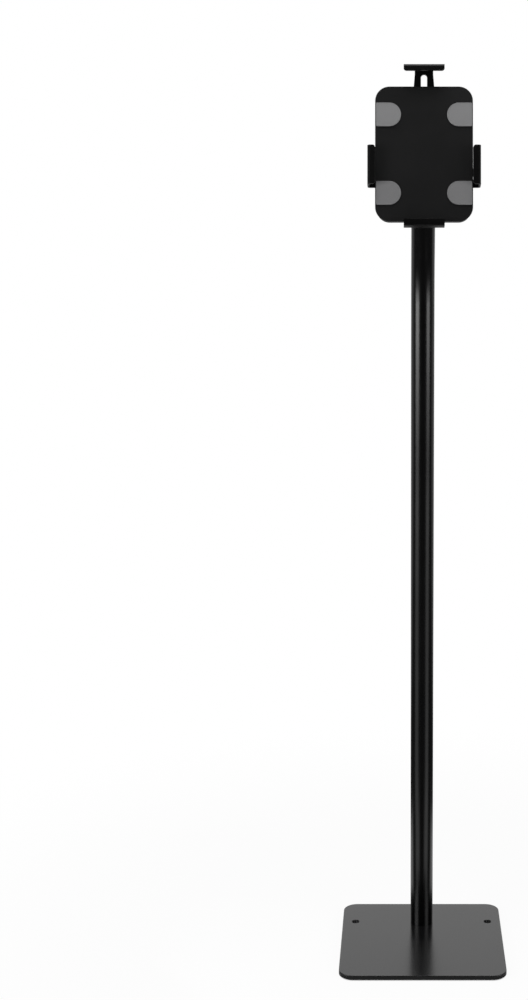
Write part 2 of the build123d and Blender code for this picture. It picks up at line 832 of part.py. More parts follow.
pieces += [
    base_plate, base_feet, column_tube, foot_plug, base_screws, neck_plug,
    tilt_yoke, yoke_screw, tilt_bolt, tilt_nut, tilt_washers, friction_washers,
    tilt_bracket, swivel_disc, spring_washer, swivel_bolt, swivel_nut,
    front_plate, rear_cover, standoffs, cover_screws, clamp_screws, stop_pin,
    lock_barrel, lock_nut, lock_plug, lock_cam, cam_screw,
]
for piece in pieces:
    export_step(piece.part, f"parts/{piece.part.label}.step")
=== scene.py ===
import json
import math

import bmesh
import bpy
from mathutils import Matrix, Vector


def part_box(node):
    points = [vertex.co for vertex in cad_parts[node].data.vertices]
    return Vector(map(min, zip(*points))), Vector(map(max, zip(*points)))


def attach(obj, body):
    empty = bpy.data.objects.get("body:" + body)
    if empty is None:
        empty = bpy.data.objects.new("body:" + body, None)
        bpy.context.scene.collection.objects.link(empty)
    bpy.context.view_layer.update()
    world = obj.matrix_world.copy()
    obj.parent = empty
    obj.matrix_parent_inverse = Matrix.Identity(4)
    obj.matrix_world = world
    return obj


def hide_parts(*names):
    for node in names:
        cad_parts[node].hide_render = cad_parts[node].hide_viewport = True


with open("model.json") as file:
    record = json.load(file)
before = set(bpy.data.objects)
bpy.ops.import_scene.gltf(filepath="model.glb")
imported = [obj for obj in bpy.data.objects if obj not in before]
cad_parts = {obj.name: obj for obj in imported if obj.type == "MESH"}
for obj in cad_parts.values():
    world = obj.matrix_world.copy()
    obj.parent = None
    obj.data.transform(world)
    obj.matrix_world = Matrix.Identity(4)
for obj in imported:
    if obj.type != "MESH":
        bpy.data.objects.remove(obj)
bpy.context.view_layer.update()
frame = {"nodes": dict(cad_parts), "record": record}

nodes = frame["nodes"]
print("frame loaded:", len(nodes), "nodes")

# The photograph's own view, 528 by 1000 pixels
cameraValues = {
    "place": (-0.027, -2.219, 1.0674),
    "pitchDown": 9.97,  # degrees below level
    "focalPixels": 1574.2,
    "axisPixel": 404.0,  # the column of the photograph that the camera points at
    "photoWidth": 528.0,
    "photoHeight": 1000.0,
    "sensor": 36.0,
}


def buildCamera(values):
    data = bpy.data.cameras.new("camera")
    camera = bpy.data.objects.new("camera", data)
    bpy.context.scene.collection.objects.link(camera)
    camera.location = values["place"]
    camera.rotation_euler = (math.radians(90 - values["pitchDown"]), 0, 0)
    data.sensor_width = values["sensor"]
    data.lens = values["focalPixels"] * values["sensor"] / values["photoHeight"]
    data.shift_x = (values["photoWidth"] / 2 - values["axisPixel"]) / values["photoHeight"]
    bpy.context.scene.camera = camera


buildCamera(cameraValues)
print("camera placed")


# Small helpers for shader nodes
def addNode(tree, kind, **settings):
    node = tree.nodes.new(kind)
    for key, value in settings.items():
        setattr(node, key, value)
    return node


def setInputs(node, **values):
    for key, value in values.items():
        node.inputs[key].default_value = value
    return node


def feed(tree, value, socket):
    # Links another node's output to the socket, or sets it to a plain value
    if isinstance(value, bpy.types.NodeSocket):
        tree.links.new(value, socket)
    else:
        socket.default_value = value


def mathNode(tree, operation, first, second=0.0, clamp=False):
    node = addNode(tree, "ShaderNodeMath", operation=operation, use_clamp=clamp)
    feed(tree, first, node.inputs[0])
    feed(tree, second, node.inputs[1])
    return node.outputs[0]


def vectorNode(tree, operation, first, second=(0.0, 0.0, 0.0)):
    node = addNode(tree, "ShaderNodeVectorMath", operation=operation)
    feed(tree, first, node.inputs[0])
    feed(tree, second, node.inputs[1])
    return node.outputs["Value" if operation in ("LENGTH", "DOT_PRODUCT") else "Vector"]


def axisOf(tree, vector, axis):
    node = addNode(tree, "ShaderNodeSeparateXYZ")
    tree.links.new(vector, node.inputs[0])
    return node.outputs[axis]


def objectPlace(tree):
    return addNode(tree, "ShaderNodeTexCoord").outputs["Object"]


def remap(tree, value, reach, low=0.0, high=1.0, smooth=False):
    node = addNode(tree, "ShaderNodeMapRange", clamp=True)
    if smooth:
        node.interpolation_type = "SMOOTHSTEP"
    names = ("Value", "From Min", "From Max", "To Min", "To Max")
    for key, number in zip(names, (value, *reach, low, high)):
        feed(tree, number, node.inputs[key])
    return node.outputs["Result"]


def mixColours(tree, factor, first, second):
    node = addNode(tree, "ShaderNodeMix", data_type="RGBA")
    feed(tree, factor, node.inputs[0])
    for place, colour in ((6, first), (7, second)):
        linked = isinstance(colour, bpy.types.NodeSocket)
        feed(tree, colour if linked else (*colour, 1), node.inputs[place])
    return node.outputs[2]


def noiseAt(tree, vector, scale, detail, roughness=0.5):
    node = addNode(tree, "ShaderNodeTexNoise")
    names = ("Vector", "Scale", "Detail", "Roughness")
    for key, value in zip(names, (vector, scale, detail, roughness)):
        feed(tree, value, node.inputs[key])
    return node.outputs["Fac"]


def startGroup(name, inputs, outputs):
    # The sockets are given as name and kind, and each use of the group sets its inputs
    group = bpy.data.node_groups.new(name, "ShaderNodeTree")
    for way, sockets in (("INPUT", inputs), ("OUTPUT", outputs)):
        for socketName, kind in sockets.items():
            group.interface.new_socket(socketName, in_out=way, socket_type="NodeSocket" + kind)
    return group, group.nodes.new("NodeGroupInput"), group.nodes.new("NodeGroupOutput")


# Effects that several finishes share
grainValues = {
    "fineShare": 0.6, "fineDetail": (3.0, 0.55),
    "coarseShare": 0.4, "coarseScale": 0.37, "coarseDetail": 1.0,
    "cloudDetail": (4.0, 0.6), "cloudReach": (0.3, 0.7),
}


def grainGroup(values):
    # The pebbled skin of a sprayed or moulded surface, with slow cloudy changes under it
    group, source, sink = startGroup(
        "skinGrain", {"Grain": "Float", "Cloud": "Float"}, {"Height": "Float", "Cloud": "Float"},
    )
    where = objectPlace(group)
    fine = noiseAt(group, where, source.outputs["Grain"], *values["fineDetail"])
    coarseScale = mathNode(group, "MULTIPLY", source.outputs["Grain"], values["coarseScale"])
    coarse = noiseAt(group, where, coarseScale, values["coarseDetail"])
    height = mathNode(
        group, "ADD",
        mathNode(group, "MULTIPLY", fine, values["fineShare"]),
        mathNode(group, "MULTIPLY", coarse, values["coarseShare"]),
    )
    feed(group, height, sink.inputs["Height"])
    cloud = noiseAt(group, where, source.outputs["Cloud"], *values["cloudDetail"])
    feed(group, remap(group, cloud, values["cloudReach"]), sink.inputs["Cloud"])
    return group


edgeValues = {"samples": 6, "lean": (0.98, 0.8), "breakDetail": (4.0, 0.65), "breakReach": (0.42, 0.62)}


def edgeGroup(values):
    # Finds edges by how far a rounded normal leans from the flat one, and softens them
    group, source, sink = startGroup(
        "edgeRub", {"Radius": "Float", "Breakup": "Float"}, {"Mask": "Float", "Normal": "Vector"},
    )
    bevel = addNode(group, "ShaderNodeBevel", samples=values["samples"])
    feed(group, source.outputs["Radius"], bevel.inputs["Radius"])
    flat = addNode(group, "ShaderNodeNewGeometry").outputs["True Normal"]
    lean = vectorNode(group, "DOT_PRODUCT", bevel.outputs["Normal"], flat)
    edge = remap(group, lean, values["lean"])
    rubbing = noiseAt(group, objectPlace(group), source.outputs["Breakup"], *values["breakDetail"])
    broken = remap(group, rubbing, values["breakReach"])
    feed(group, mathNode(group, "MULTIPLY", edge, broken), sink.inputs["Mask"])
    feed(group, bevel.outputs["Normal"], sink.inputs["Normal"])
    return group


dustValues = {"slope": (0.5, 0.95), "patchDetail": (5.0, 0.6), "patchReach": (0.35, 0.75)}


def dustGroup(values):
    # Fine dust that settles where a surface faces up
    group, source, sink = startGroup(
        "settledDust", {"Amount": "Float", "Patch": "Float"}, {"Mask": "Float"},
    )
    normal = addNode(group, "ShaderNodeNewGeometry").outputs["Normal"]
    upward = remap(group, axisOf(group, normal, "Z"), values["slope"])
    patches = noiseAt(group, objectPlace(group), source.outputs["Patch"], *values["patchDetail"])
    settled = mathNode(group, "MULTIPLY", upward, remap(group, patches, values["patchReach"]))
    feed(group, mathNode(group, "MULTIPLY", settled, source.outputs["Amount"]), sink.inputs["Mask"])
    return group


ringValues = {"detail": 3.0, "clearScale": 60.0, "clearDetail": 3.0, "clearReach": (0.4, 0.65)}


def ringGroup(values):
    # Fine lathe rings about one axis, for turned and polished metal
    group, source, sink = startGroup(
        "turnedRings",
        {"Centre": "Vector", "Axis": "Vector", "Rings": "Float"}, {"Height": "Float", "Mask": "Float"},
    )
    where = objectPlace(group)
    away = vectorNode(group, "SUBTRACT", where, source.outputs["Centre"])
    radius = vectorNode(
        group, "LENGTH", vectorNode(group, "CROSS_PRODUCT", away, source.outputs["Axis"]),
    )
    rings = addNode(group, "ShaderNodeTexNoise", noise_dimensions="1D")
    feed(group, mathNode(group, "MULTIPLY", radius, source.outputs["Rings"]), rings.inputs["W"])
    setInputs(rings, Scale=1.0, Detail=values["detail"])
    feed(group, rings.outputs["Fac"], sink.inputs["Height"])
    clear = noiseAt(group, where, values["clearScale"], values["clearDetail"])
    feed(group, remap(group, clear, values["clearReach"]), sink.inputs["Mask"])
    return group


effects = {
    "grain": grainGroup(grainValues), "edge": edgeGroup(edgeValues),
    "dust": dustGroup(dustValues), "rings": ringGroup(ringValues),
}
print("effects made:", len(effects))


def placeEffect(tree, effect, **values):
    return setInputs(addNode(tree, "ShaderNodeGroup", node_tree=effects[effect]), **values).outputs


def startMaterial(name):
    material = bpy.data.materials.new(name)
    material.use_nodes = True
    tree = material.node_tree
    return material, tree, tree.nodes["Principled BSDF"]


def spreadOver(tree, mask, ends):
    # A value that goes from the first end to the second where the mask goes from 0 to 1
    return remap(tree, mask, (0.0, 1.0), *ends)


def bumpFrom(tree, height, strength, distance, normal=None):
    bump = setInputs(addNode(tree, "ShaderNodeBump"), Strength=strength, Distance=distance)
    tree.links.new(height, bump.inputs["Height"])
    if normal is not None:
        tree.links.new(normal, bump.inputs["Normal"])
    return bump.outputs["Normal"]


# Finishes. What those of one kind share stands first
powderShared = {
    "cloud": 7.0, "breakup": 120.0, "patch": 16.0,
    "dustColour": (0.16, 0.155, 0.15), "dustDull": 0.5, "bump": 0.5,
}
powderValues = {
    "basePaint": {
        "colour": (0.0032, 0.0033, 0.0036), "cloudColour": (0.005, 0.0051, 0.0054),
        "rubColour": (0.03, 0.03, 0.032), "rub": 0.35, "grain": 1100.0, "grainDepth": 0.000015,
        "roughness": (0.17, 0.22), "ior": 1.568, "edgeRadius": 0.0007, "dust": 0.02,
    },
    "columnPaint": {
        "colour": (0.0006, 0.0006, 0.0007), "cloudColour": (0.0012, 0.0012, 0.0013),
        "rubColour": (0.02, 0.02, 0.022), "rub": 0.2, "grain": 1400.0, "grainDepth": 0.000008,
        "roughness": (0.22, 0.27), "ior": 1.5, "edgeRadius": 0.0005, "dust": 0.02,
    },
    "platePaint": {
        "colour": (0.005, 0.005, 0.0053), "cloudColour": (0.0068, 0.0068, 0.0072),
        "rubColour": (0.03, 0.03, 0.032), "rub": 0.3, "grain": 1300.0, "grainDepth": 0.00003,
        "roughness": (0.4, 0.48), "ior": 1.46, "edgeRadius": 0.0005, "dust": 0.02,
    },
    "armPaint": {
        "colour": (0.0007, 0.0007, 0.0008), "cloudColour": (0.0013, 0.0013, 0.0014),
        "rubColour": (0.02, 0.02, 0.021), "rub": 0.3, "grain": 1300.0, "grainDepth": 0.000015,
        "roughness": (0.36, 0.44), "ior": 1.36, "edgeRadius": 0.0005, "dust": 0.02,
    },
    "coverPaint": {
        "colour": (0.0065, 0.0066, 0.007), "cloudColour": (0.0095, 0.0095, 0.01),
        "rubColour": (0.03, 0.03, 0.032), "rub": 0.3, "grain": 900.0, "grainDepth": 0.00005,
        "roughness": (0.46, 0.56), "ior": 1.5, "edgeRadius": 0.0006, "dust": 0.03,
    },
    "bracketPaint": {
        "colour": (0.0055, 0.0055, 0.006), "cloudColour": (0.008, 0.008, 0.0085),
        "rubColour": (0.05, 0.05, 0.052), "rub": 0.5, "grain": 1200.0, "grainDepth": 0.00003,
        "roughness": (0.38, 0.48), "ior": 1.5, "edgeRadius": 0.0006, "dust": 0.03,
    },
}


def powderCoat(name, values):
    # Sprayed powder coat: a fine orange peel, cloudy gloss and rubbed edges
    material, tree, shader = startMaterial(name)
    grain = placeEffect(tree, "grain", Grain=values["grain"], Cloud=values["cloud"])
    edge = placeEffect(tree, "edge", Radius=values["edgeRadius"], Breakup=values["breakup"])
    dust = placeEffect(tree, "dust", Amount=values["dust"], Patch=values["patch"])
    paint = mixColours(tree, grain["Cloud"], values["colour"], values["cloudColour"])
    rubbed = mathNode(tree, "MULTIPLY", edge["Mask"], values["rub"])
    paint = mixColours(tree, rubbed, paint, values["rubColour"])
    paint = mixColours(tree, dust["Mask"], paint, values["dustColour"])
    tree.links.new(paint, shader.inputs["Base Color"])
    dull = mathNode(tree, "MULTIPLY", dust["Mask"], values["dustDull"])
    gloss = spreadOver(tree, grain["Cloud"], values["roughness"])
    tree.links.new(mathNode(tree, "ADD", gloss, dull, clamp=True), shader.inputs["Roughness"])
    shader.inputs["IOR"].default_value = values["ior"]
    skin = bumpFrom(tree, grain["Height"], values["bump"], values["grainDepth"], edge["Normal"])
    tree.links.new(skin, shader.inputs["Normal"])
    return material


padValues = {
    "colour": (0.15, 0.15, 0.153), "cellColour": (0.19, 0.19, 0.193),
    "cells": 1500.0, "cellReach": (0.0, 0.7), "cellDepth": 0.00012, "cellShare": 0.5, "bump": 0.6,
    "grain": 600.0, "cloud": 30.0, "cloudShare": 0.5,
    "paintedLightColour": (0.26, 0.26, 0.263), "paintedLightHeights": (1.105, 1.215), "paintedLightShare": 0.6,  # painted light: paler with height, as if lit from above
    "rimColour": (0.33, 0.33, 0.332), "rimShare": 0.6, "edgeRadius": 0.0008, "breakup": 300.0,
    "roughness": (0.82, 0.95), "specular": 0.25,
}


def foamPad(name, values):
    # Die-cut grey foam: small open cells, paler along the cut edges
    material, tree, shader = startMaterial(name)
    where = objectPlace(tree)
    cells = addNode(tree, "ShaderNodeTexVoronoi", feature="F1")
    feed(tree, where, cells.inputs["Vector"])
    setInputs(cells, Scale=values["cells"])
    cell = remap(tree, cells.outputs["Distance"], values["cellReach"])
    grain = placeEffect(tree, "grain", Grain=values["grain"], Cloud=values["cloud"])
    edge = placeEffect(tree, "edge", Radius=values["edgeRadius"], Breakup=values["breakup"])
    tone = mathNode(
        tree, "ADD",
        mathNode(tree, "MULTIPLY", cell, values["cellShare"]),
        mathNode(tree, "MULTIPLY", grain["Cloud"], values["cloudShare"]),
    )
    foam = mixColours(tree, tone, values["colour"], values["cellColour"])
    # Painted light: the foam is painted paler up the holder, as if lit more from above
    paintedLightMask = remap(tree, axisOf(tree, where, "Z"), values["paintedLightHeights"], 0.0, values["paintedLightShare"])
    foam = mixColours(tree, paintedLightMask, foam, values["paintedLightColour"])
    # Paler along the cut edges
    paleRim = mathNode(tree, "MULTIPLY", edge["Mask"], values["rimShare"])
    tree.links.new(mixColours(tree, paleRim, foam, values["rimColour"]), shader.inputs["Base Color"])
    tree.links.new(spreadOver(tree, grain["Cloud"], values["roughness"]), shader.inputs["Roughness"])
    shader.inputs["Specular IOR Level"].default_value = values["specular"]
    skin = bumpFrom(tree, cell, values["bump"], values["cellDepth"], edge["Normal"])
    tree.links.new(skin, shader.inputs["Normal"])
    return material


rubberShared = {
    "grain": 1500.0, "cloud": 40.0, "roughness": (0.6, 0.78), "specular": 0.4,
    "bump": 0.5, "grainDepth": 0.00006,
}
rubberValues = {
    "linerRubber": {"colour": (0.006, 0.006, 0.0062), "paleColour": (0.012, 0.012, 0.0125)},
    "footRubber": {"colour": (0.012, 0.012, 0.0125), "paleColour": (0.022, 0.022, 0.023)},
}


def rubberSkin(name, values):
    # Moulded rubber: dull, with a faint bloom
    material, tree, shader = startMaterial(name)
    grain = placeEffect(tree, "grain", Grain=values["grain"], Cloud=values["cloud"])
    rubber = mixColours(tree, grain["Cloud"], values["colour"], values["paleColour"])
    tree.links.new(rubber, shader.inputs["Base Color"])
    tree.links.new(spreadOver(tree, grain["Cloud"], values["roughness"]), shader.inputs["Roughness"])
    shader.inputs["Specular IOR Level"].default_value = values["specular"]
    skin = bumpFrom(tree, grain["Height"], values["bump"], values["grainDepth"])
    tree.links.new(skin, shader.inputs["Normal"])
    return material


metalShared = {"cloud": 90.0, "edgeRadius": 0.0004, "breakup": 500.0, "rub": 0.6, "bump": 0.5}
metalValues = {
    "zincSteel": {
        "colour": (0.52, 0.53, 0.55), "cloudColour": (0.62, 0.6, 0.55), "rubColour": (0.75, 0.75, 0.76),
        "metallic": 1.0, "roughness": (0.3, 0.46), "grain": 1800.0, "grainDepth": 0.00001,
    },
    "blackOxide": {
        "colour": (0.03, 0.03, 0.032), "cloudColour": (0.05, 0.048, 0.046), "rubColour": (0.22, 0.22, 0.225),
        "metallic": 0.9, "roughness": (0.34, 0.48), "grain": 1600.0, "grainDepth": 0.00001,
    },
}


def platedSteel(name, values):
    # Plated or blackened steel fastener: cloudy plating, bright where tools rub the edges
    material, tree, shader = startMaterial(name)
    grain = placeEffect(tree, "grain", Grain=values["grain"], Cloud=values["cloud"])
    edge = placeEffect(tree, "edge", Radius=values["edgeRadius"], Breakup=values["breakup"])
    metal = mixColours(tree, grain["Cloud"], values["colour"], values["cloudColour"])
    rubbed = mathNode(tree, "MULTIPLY", edge["Mask"], values["rub"])
    tree.links.new(mixColours(tree, rubbed, metal, values["rubColour"]), shader.inputs["Base Color"])
    shader.inputs["Metallic"].default_value = values["metallic"]
    tree.links.new(spreadOver(tree, grain["Cloud"], values["roughness"]), shader.inputs["Roughness"])
    skin = bumpFrom(tree, grain["Height"], values["bump"], values["grainDepth"], edge["Normal"])
    tree.links.new(skin, shader.inputs["Normal"])
    return material


nickelValues = {
    "colour": (0.66, 0.65, 0.63), "cloudColour": (0.74, 0.73, 0.71), "roughness": (0.12, 0.26),
    "rings": 14000.0, "ringDepth": 0.000008, "bump": 0.25, "edgeRadius": 0.0003, "breakup": 500.0,
}


def nickelPlate(name, values, centre, axis):
    # Polished nickel over a turned face
    material, tree, shader = startMaterial(name)
    rings = placeEffect(tree, "rings", Centre=centre, Axis=axis, Rings=values["rings"])
    edge = placeEffect(tree, "edge", Radius=values["edgeRadius"], Breakup=values["breakup"])
    metal = mixColours(tree, rings["Mask"], values["colour"], values["cloudColour"])
    tree.links.new(metal, shader.inputs["Base Color"])
    shader.inputs["Metallic"].default_value = 1.0
    tree.links.new(spreadOver(tree, rings["Mask"], values["roughness"]), shader.inputs["Roughness"])
    skin = bumpFrom(tree, rings["Height"], values["bump"], values["ringDepth"], edge["Normal"])
    tree.links.new(skin, shader.inputs["Normal"])
    return material


nylonValues = {
    "colour": (0.68, 0.67, 0.62), "cloudColour": (0.76, 0.75, 0.71), "roughness": (0.4, 0.55),
    "grain": 800.0, "cloud": 60.0, "bump": 0.3, "grainDepth": 0.00002,
}


def nylonSkin(name, values):
    # Natural nylon, milky and a little waxy
    material, tree, shader = startMaterial(name)
    grain = placeEffect(tree, "grain", Grain=values["grain"], Cloud=values["cloud"])
    plastic = mixColours(tree, grain["Cloud"], values["colour"], values["cloudColour"])
    tree.links.new(plastic, shader.inputs["Base Color"])
    tree.links.new(spreadOver(tree, grain["Cloud"], values["roughness"]), shader.inputs["Roughness"])
    skin = bumpFrom(tree, grain["Height"], values["bump"], values["grainDepth"])
    tree.links.new(skin, shader.inputs["Normal"])
    return material


def middleOf(node):
    low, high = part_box(node)
    return (low + high) / 2


lockAxis = (middleOf("lock_plug") - middleOf("cam_screw")).normalized()
finishes = {name: powderCoat(name, {**powderShared, **values}) for name, values in powderValues.items()}
finishes["padFoam"] = foamPad("padFoam", padValues)
for name, values in rubberValues.items():
    finishes[name] = rubberSkin(name, {**rubberShared, **values})
for name, values in metalValues.items():
    finishes[name] = platedSteel(name, {**metalShared, **values})
finishes["lockNickel"] = nickelPlate("lockNickel", nickelValues, middleOf("lock_plug"), lockAxis)
finishes["nylonSkin"] = nylonSkin("nylonSkin", nylonValues)

# The record's slots and the finish that each one takes
slotFinishes = {
    "base_paint": "basePaint",
    "column_paint": "columnPaint",
    "bracket_paint": "bracketPaint",
    "plate_paint": "platePaint",
    "cover_paint": "coverPaint",
    "arm_paint": "armPaint",
    "pad_foam": "padFoam",
    "liner_rubber": "linerRubber",
    "foot_rubber": "footRubber",
    "black_screw": "blackOxide",
    "zinc_steel": "zincSteel",
    "nylon": "nylonSkin",
    "lock_metal": "lockNickel",
}
for subpart in frame["record"]["subparts"]:
    mesh = nodes[subpart["node"]].data
    mesh.materials.clear()
    mesh.materials.append(finishes[slotFinishes[subpart["material_slot"]]])
print("finishes made:", len(finishes))

# Where the holder stands, read from the record's tablet mount, with its own directions
holderMount = next(mount for mount in frame["record"]["mounts"] if mount["name"] == "tablet_rest")
holderOut = Vector(holderMount["axis"]).normalized()
holderAcross = Vector((1, 0, 0))
holderUp = holderOut.cross(holderAcross)
padFace = Vector(holderMount["pos_m"])  # the middle of the upper left pad's face

near = 0.00005  # closer than this is the same place
weld = 0.000002  # corners closer than this become one
facing = 0.9  # cosine above which a face or an edge is taken to point a given way
flatTo = 0.999  # cosine above which a face is flat to that way, and not part of a round edge
crisp = 35  # degrees; a fold sharper than this is shaded as an edge


# Helpers for modelling: most of them leave the piece active and in edit mode
def startPiece(name):
    piece = bpy.context.object
    piece.name = name
    bpy.ops.object.mode_set(mode="EDIT")
    return piece


def pickFaces(piece, wanted):
    bpy.ops.mesh.select_mode(type="FACE")
    mesh = bmesh.from_edit_mesh(piece.data)
    for face in mesh.faces:
        face.select_set(bool(wanted(face.calc_center_median(), face.normal)))
    mesh.select_flush_mode()
    bmesh.update_edit_mesh(piece.data)


def pickEdges(piece, wanted, openOnly=False):
    # An open edge has a face on one side only
    bpy.ops.mesh.select_mode(type="EDGE")
    mesh = bmesh.from_edit_mesh(piece.data)
    for edge in mesh.edges:
        low, high = (vertex.co for vertex in edge.verts)
        fits = wanted((low + high) / 2, (high - low).normalized())
        edge.select_set(bool(fits and (edge.is_boundary or not openOnly)))
    mesh.select_flush_mode()
    bmesh.update_edit_mesh(piece.data)


def pickCorners(piece, wanted):
    bpy.ops.mesh.select_mode(type="VERT")
    mesh = bmesh.from_edit_mesh(piece.data)
    for vertex in mesh.verts:
        vertex.select_set(bool(wanted(vertex.co)))
    mesh.select_flush_mode()
    bmesh.update_edit_mesh(piece.data)


def pushOut(x=0.0, z=0.0):
    bpy.ops.mesh.extrude_region_move(TRANSFORM_OT_translate={"value": (x, 0, z)})


def ringIn(thickness, depth=0.0):
    bpy.ops.mesh.inset(thickness=thickness, depth=depth)


def widen(share):
    bpy.ops.transform.resize(value=(share, share, 1), center_override=(0, 0, 0))


def finishPiece(piece, place, zWay, xWay, finish, body):
    # Cleans the mesh and sets it in its place, with its Z turned to zWay and its X to xWay
    bpy.ops.mesh.select_mode(type="VERT")
    bpy.ops.mesh.select_all(action="SELECT")
    bpy.ops.mesh.remove_doubles(threshold=weld)
    bpy.ops.mesh.normals_make_consistent(inside=False)
    bpy.ops.object.mode_set(mode="OBJECT")
    bpy.ops.object.shade_smooth_by_angle(angle=math.radians(crisp))
    turn = Matrix((xWay, zWay.cross(xWay), zWay)).transposed().to_4x4()
    piece.matrix_world = Matrix.Translation(place) @ turn
    bpy.ops.object.transform_apply(location=True, rotation=True, scale=True)
    piece.data.materials.clear()
    piece.data.materials.append(finishes[finish])
    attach(piece, body)
    bpy.ops.object.select_all(action="DESELECT")


# The four pads: die-cut foam with a pressed border
padShape = {
    "radius": 0.016, "straight": 0.0177, "thickness": 0.0015, "sides": 96,
    "corner": 0.0015, "cornerSteps": 6, "edge": 0.0003, "edgeSteps": 3,
    "border": 0.00085, "slope": 0.0003, "sink": 0.00022, "fill": 1.0,
}


def buildPad(node, values):
    bpy.ops.mesh.primitive_cylinder_add(
        vertices=values["sides"], radius=values["radius"], depth=values["thickness"], location=(0, 0, 0),
    )
    pad = startPiece(node + "_foam")
    bpy.ops.mesh.select_all(action="SELECT")
    bpy.ops.mesh.bisect(plane_co=(0, 0, 0), plane_no=(1, 0, 0), use_fill=True, clear_outer=True)
    pickFaces(pad, lambda middle, normal: normal.x > facing)
    pushOut(x=values["straight"])
    pickEdges(pad, lambda middle, way: abs(way.z) > facing and middle.x > values["straight"] / 2)
    bpy.ops.mesh.bevel(offset=values["corner"], segments=values["cornerSteps"])
    pickFaces(pad, lambda middle, normal: normal.z > facing)
    bpy.ops.mesh.bevel(offset=values["edge"], segments=values["edgeSteps"])
    pickFaces(pad, lambda middle, normal: normal.z > flatTo)
    ringIn(values["border"])
    ringIn(values["slope"], -values["sink"])
    low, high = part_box(node)
    side = 1 if low.x > 0 else -1
    rise = ((low + high) / 2 - padFace).dot(holderUp)
    place = padFace + holderUp * rise - holderOut * values["thickness"] / 2
    place.x = side * (max(abs(low.x), abs(high.x)) - values["straight"])
    finishPiece(pad, place, holderOut, holderAcross * side, "padFoam", "holder")
    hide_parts(node)


for padNode in ("pad_top_left", "pad_top_right", "pad_bottom_left", "pad_bottom_right"):
    buildPad(padNode, padShape)
print("pads made")

# Ribbed rubber liners in the hooks. Each is drawn lying along X, out from the plate's edge
plateSize = {
    "width": 0.1318, "height": 0.183,
    "padAcross": 0.04785, "padUp": 0.0532,  # from the plate's middle to a pad's middle
    "sideDrop": 0.031,  # from the plate's middle down to the side arms' middle
    "lipUnder": 0.0125,  # from the plate's face to the inside of a hook's lip
}
linerShape = {
    "thickness": 0.0012, "bend": 0.0027, "bendSteps": 6, "margin": 0.0022,
    "rib": 0.0009, "gap": 0.0009, "ribHeight": 0.0003, "ribTaper": 0.0002,
    "corner": 0.0018, "cornerSteps": 5, "edge": 0.0002, "edgeSteps": 2, "edgeAngle": 50,
}
linerPlaces = {
    # wall: from the plate's edge to the hook's wall; tip: to the lip's end; low and high: across
    "top_liner": {"way": "up", "wall": 0.0242, "tip": 0.0175, "low": -0.0259, "high": 0.0259},
    "bottom_liner": {"way": "down", "wall": 0.0059, "tip": -0.0008, "low": -0.0259, "high": 0.0259},
    "left_liner": {"way": "left", "wall": 0.0077, "tip": -0.0004, "low": -0.0381, "high": 0.0115},
    "right_liner": {"way": "right", "wall": 0.0077, "tip": -0.0004, "low": -0.0115, "high": 0.0381},
}
plateMiddle = padFace + holderAcross * plateSize["padAcross"] - holderUp * plateSize["padUp"]
plateMiddle -= holderOut * padShape["thickness"]
sideMiddle = plateMiddle - holderUp * plateSize["sideDrop"]
halfAcross = holderAcross * plateSize["width"] / 2
halfUp = holderUp * plateSize["height"] / 2
# The way that each hook slides, and where the plate's edge lies on it
slideWays = {
    "up": (holderUp, plateMiddle + halfUp),
    "down": (-holderUp, plateMiddle - halfUp),
    "left": (-holderAcross, sideMiddle - halfAcross),
    "right": (holderAcross, sideMiddle + halfAcross),
}


def pushEdge(piece, wanted, steps):
    # Carries a strip's free edge on, one strip for each step
    pickEdges(piece, wanted)
    for x, z in steps:
        bpy.ops.mesh.extrude_edges_move(TRANSFORM_OT_translate={"value": (x, 0, z)})


